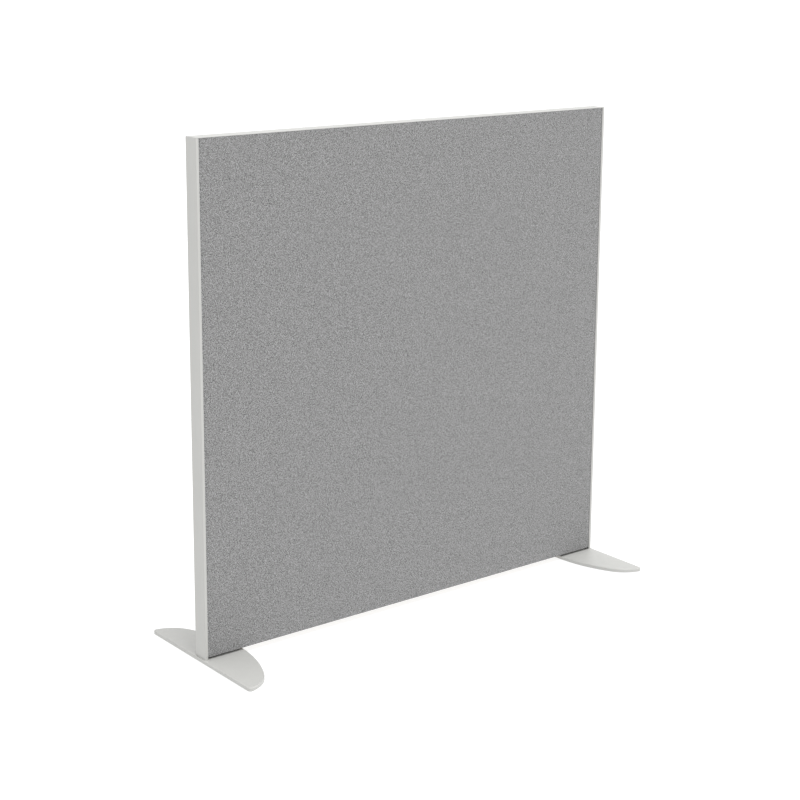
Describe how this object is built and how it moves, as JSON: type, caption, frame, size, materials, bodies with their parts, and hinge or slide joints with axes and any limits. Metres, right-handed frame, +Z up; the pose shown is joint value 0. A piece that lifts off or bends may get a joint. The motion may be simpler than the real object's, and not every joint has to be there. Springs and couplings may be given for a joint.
{
  "type": "free-standing fabric screen wall",
  "caption": "Free-standing upholstered screen wall: a fabric-covered panel in slim coated edge trims, standing on two half-moon steel foot plates.",
  "frame": {"origin": "on the floor, midway between the two feet and in the panel's middle plane", "axes": "+X along the wall to the right seen from the front, +Y through the wall to the back, +Z up"},
  "size_m": [1.208, 0.408, 1.18],
  "materials": {
    "powder_coat": "satin",
    "screen_fabric": "matte",
    "wadding": "matte",
    "hardboard": "matte",
    "softwood": "matte",
    "dowel_wood": "satin",
    "absorber_wool": "matte",
    "zinc_steel": "satin",
    "rubber": "matte"
  },
  "bodies": {
    "root": {"side_trim_left": "powder_coat", "side_trim_right": "powder_coat", "top_trim": "powder_coat", "front_fabric": "screen_fabric", "rear_fabric": "screen_fabric", "front_wadding": "wadding", "rear_wadding": "wadding", "front_board": "hardboard", "rear_board": "hardboard", "left_batten": "softwood", "right_batten": "softwood", "top_batten": "softwood", "bottom_batten": "softwood", "mid_batten": "softwood", "frame_dowels": "dowel_wood", "upper_absorber": "absorber_wool", "lower_absorber": "absorber_wool", "foot_left": "powder_coat", "foot_right": "powder_coat", "foot_strip_left": "rubber", "foot_strip_right": "rubber", "foot_screws": "zinc_steel", "threaded_inserts": "zinc_steel", "floor_pads": "rubber"}
  },
  "joints": []
}
